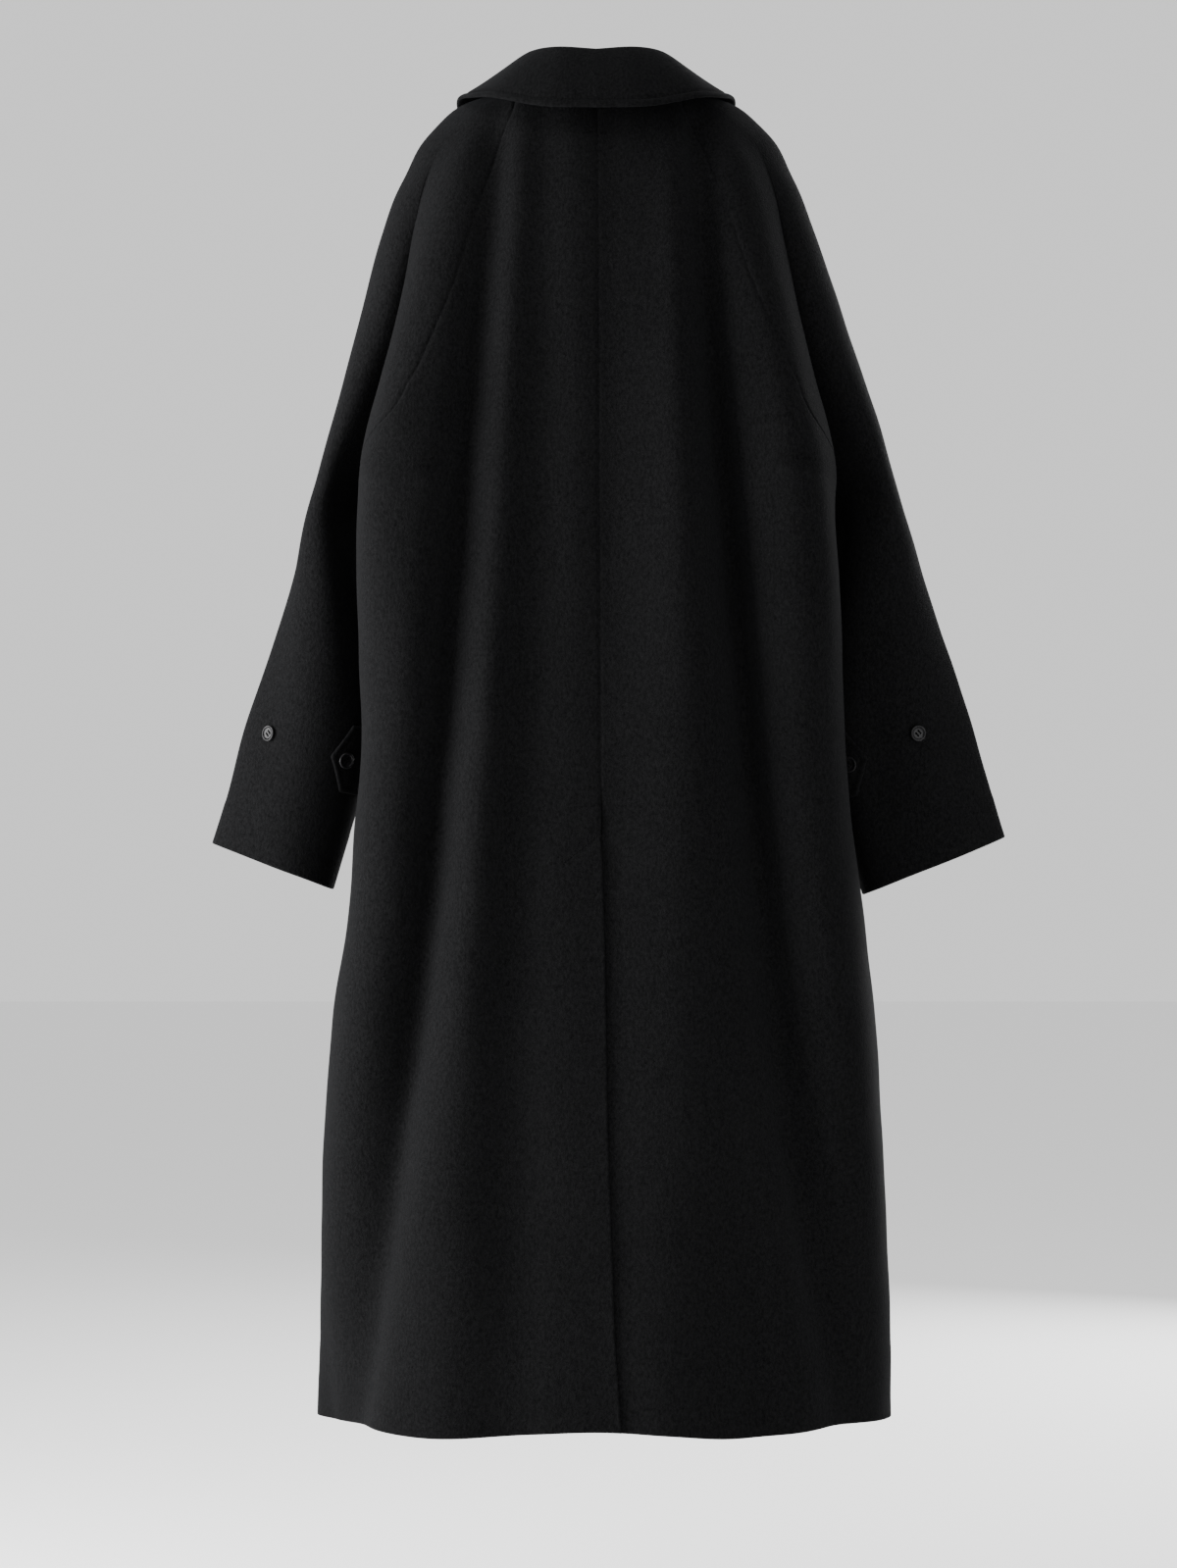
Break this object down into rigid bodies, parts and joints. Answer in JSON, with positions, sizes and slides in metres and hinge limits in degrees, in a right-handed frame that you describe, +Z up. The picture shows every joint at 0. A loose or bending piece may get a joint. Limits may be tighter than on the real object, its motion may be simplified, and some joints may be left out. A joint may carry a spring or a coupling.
{
  "type": "balmacaan coat",
  "caption": "Long loose raglan overcoat with a turned-down collar, back vent, pointed cuff straps and sew-through buttons, worn and empty.",
  "frame": {"origin": "middle of the neck opening, at the height of the collar seam over the shoulders", "axes": "+Z up, +Y toward the wearer's front, +X toward the wearer's right; the back faces -Y"},
  "size_m": [0.7364, 0.3561, 1.251],
  "materials": {
    "cloth": "matt black wool with a short soft nap",
    "button": "polished black"
  },
  "bodies": {
    "root": {"back_left": "cloth", "back_right": "cloth", "front_left": "cloth", "front_right": "cloth", "sleeve_back_left": "cloth", "sleeve_back_right": "cloth", "sleeve_front_left": "cloth", "sleeve_front_right": "cloth", "collar_stand": "cloth", "collar_leaf": "cloth", "cuff_strap_left": "cloth", "cuff_strap_right": "cloth", "strap_button_left": "button", "strap_button_right": "button", "cuff_button_left": "button", "cuff_button_right": "button", "front_button_1": "button", "front_button_2": "button", "front_button_3": "button", "front_button_4": "button", "front_button_5": "button"}
  },
  "joints": []
}
